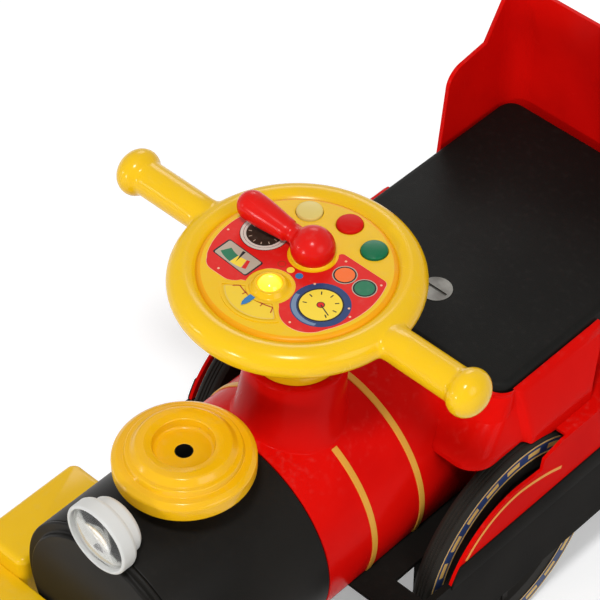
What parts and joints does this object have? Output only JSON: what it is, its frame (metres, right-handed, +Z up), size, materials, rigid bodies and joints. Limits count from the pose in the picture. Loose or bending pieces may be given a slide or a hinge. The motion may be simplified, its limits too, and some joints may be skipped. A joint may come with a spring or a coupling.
{
  "type": "ride on train",
  "caption": "Toddler's ride-on steam train: boiler with chimney, steering wheel with a play dash, lever and buttons, hinged seat over the battery, motor on the rear axle.",
  "frame": {"origin": "on the floor, at the middle of the object's box", "axes": "+Z up, -Y is the front end with the pilot, +X is the train's left side"},
  "size_m": [0.366, 0.72, 0.4403],
  "materials": {
    "black_plastic": "moulded polypropylene, half gloss",
    "red_plastic": "moulded polypropylene, glossy",
    "gold_band": "gold painted band",
    "yellow_plastic": "moulded polypropylene, glossy",
    "lamp_silver": "silver painted plastic",
    "clear_lens": "clear styrene",
    "seat_plastic": "textured matte polypropylene",
    "steel": "zinc plated",
    "battery_case": "moulded case of a sealed lead battery",
    "board_green": "printed circuit board",
    "label_red": "printed film",
    "button_cream": "glossy",
    "button_red": "glossy",
    "button_green": "glossy",
    "lever_red": "glossy",
    "amber_lens": "lit amber lens",
    "lamp_white": "clear epoxy",
    "nylon": "natural nylon",
    "wheel_black": "moulded polyethylene",
    "gearbox_grey": "moulded",
    "brass_pinion": "machined"
  },
  "bodies": {
    "body": {"chassis": "black_plastic", "chassis_rails": "black_plastic", "tow_bar": "black_plastic", "body_front": "red_plastic", "boiler_bands": "gold_band", "smokebox": "black_plastic", "smokebox_door": "black_plastic", "chimney": "yellow_plastic", "headlamp_housing": "lamp_silver", "headlamp_lens": "clear_lens", "front_beam": "yellow_plastic", "side_box_left": "yellow_plastic", "side_box_right": "yellow_plastic", "body_rear": "red_plastic", "seat_back": "red_plastic", "lock_keeper": "steel", "seat_hinge_pin": "steel", "battery": "battery_case", "battery_clamp": "steel", "charge_socket": "black_plastic", "speaker": "black_plastic", "sound_board": "board_green", "column_bushes": "nylon", "kingpin": "steel", "mid_axle": "steel", "axle_spacers": "nylon", "mid_hub_caps": "steel", "rear_bushes": "nylon", "gear_pin": "steel", "gearbox_case": "gearbox_grey", "gearbox_cover": "gearbox_grey", "motor": "steel", "body_screws": "steel"},
    "steering": {"steering_wheel": "yellow_plastic", "dash_panel": "yellow_plastic", "dash_label": "label_red", "button_board": "board_green", "lamp_lens": "amber_lens", "lamp_led": "lamp_white", "steering_column": "steel", "pitman_arm": "steel"},
    "lever": {"lever": "lever_red"},
    "button_cream": {"button_cream": "button_cream"},
    "button_red": {"button_red": "button_red"},
    "button_green": {"button_green": "button_green"},
    "drag_link": {"drag_link": "steel"},
    "bogie": {"bogie": "black_plastic", "front_axle": "steel"},
    "front_wheel_left": {"front_wheel_left": "wheel_black"},
    "front_wheel_right": {"front_wheel_right": "wheel_black"},
    "wheel_mid_left": {"wheel_mid_left": "wheel_black"},
    "wheel_mid_right": {"wheel_mid_right": "wheel_black"},
    "rear_axle": {"rear_axle": "steel", "rear_wheel_left": "wheel_black", "rear_wheel_right": "wheel_black", "axle_gear": "nylon"},
    "compound_gear": {"compound_gear": "nylon"},
    "motor_pinion": {"motor_pinion": "brass_pinion"},
    "seat": {"seat": "seat_plastic"},
    "seat_lock": {"seat_lock": "steel"}
  },
  "joints": [
    {"name": "steering", "type": "hinge", "parent": "body", "child": "steering", "pos_m": [0, -0.09, 0.399], "axis": [0, 0, 1], "range_deg": [-20, 20]},
    {"name": "bogie_steer", "type": "hinge", "parent": "body", "child": "bogie", "pos_m": [0, -0.195, 0.125], "axis": [0, 0, 1], "range_deg": [-20, 20]},
    {"name": "drag_link_pivot", "type": "hinge", "parent": "steering", "child": "drag_link", "pos_m": [0.04, -0.09, 0.11], "axis": [0, 0, 1], "range_deg": [-20, 20]},
    {"name": "lever_swing", "type": "hinge", "parent": "steering", "child": "lever", "pos_m": [0, -0.073, 0.4184], "axis": [0, 0, 1], "range_deg": [-30, 30]},
    {"name": "cream_press", "type": "slide", "parent": "steering", "child": "button_cream", "axis": [0, 0, -1], "range_m": [0, 0.003], "stiffness_N_per_m": 150},
    {"name": "red_press", "type": "slide", "parent": "steering", "child": "button_red", "axis": [0, 0, -1], "range_m": [0, 0.003], "stiffness_N_per_m": 150},
    {"name": "green_press", "type": "slide", "parent": "steering", "child": "button_green", "axis": [0, 0, -1], "range_m": [0, 0.003], "stiffness_N_per_m": 150},
    {"name": "front_left_spin", "type": "hinge", "parent": "bogie", "child": "front_wheel_left", "pos_m": [0.086, -0.195, 0.052], "axis": [1, 0, 0], "continuous": true},
    {"name": "front_right_spin", "type": "hinge", "parent": "bogie", "child": "front_wheel_right", "pos_m": [-0.086, -0.195, 0.052], "axis": [1, 0, 0], "continuous": true},
    {"name": "mid_left_spin", "type": "hinge", "parent": "body", "child": "wheel_mid_left", "pos_m": [0.126, 0.022, 0.1065], "axis": [1, 0, 0], "continuous": true},
    {"name": "mid_right_spin", "type": "hinge", "parent": "body", "child": "wheel_mid_right", "pos_m": [-0.126, 0.022, 0.1065], "axis": [1, 0, 0], "continuous": true},
    {"name": "rear_axle_spin", "type": "hinge", "parent": "body", "child": "rear_axle", "pos_m": [0, 0.235, 0.06], "axis": [1, 0, 0], "continuous": true},
    {"name": "compound_spin", "type": "hinge", "parent": "body", "child": "compound_gear", "pos_m": [0.055, 0.20819, 0.0825], "axis": [1, 0, 0], "continuous": true},
    {"name": "motor_spin", "type": "hinge", "parent": "body", "child": "motor_pinion", "pos_m": [0.052, 0.18319, 0.0825], "axis": [1, 0, 0], "continuous": true},
    {"name": "seat_hinge", "type": "hinge", "parent": "body", "child": "seat", "pos_m": [0, 0.285, 0.262], "axis": [-1, 0, 0], "range_deg": [0, 85]},
    {"name": "lock_turn", "type": "hinge", "parent": "seat", "child": "seat_lock", "pos_m": [0, 0.072, 0.27], "axis": [0, 0, 1], "range_deg": [0, 90]}
  ],
  "couplings": [
    {"joint": "bogie_steer", "follows": "steering", "ratio": 1},
    {"joint": "drag_link_pivot", "follows": "steering", "ratio": -1},
    {"joint": "compound_spin", "follows": "rear_axle_spin", "ratio": -3.6667},
    {"joint": "motor_spin", "follows": "rear_axle_spin", "ratio": 14.667}
  ]
}
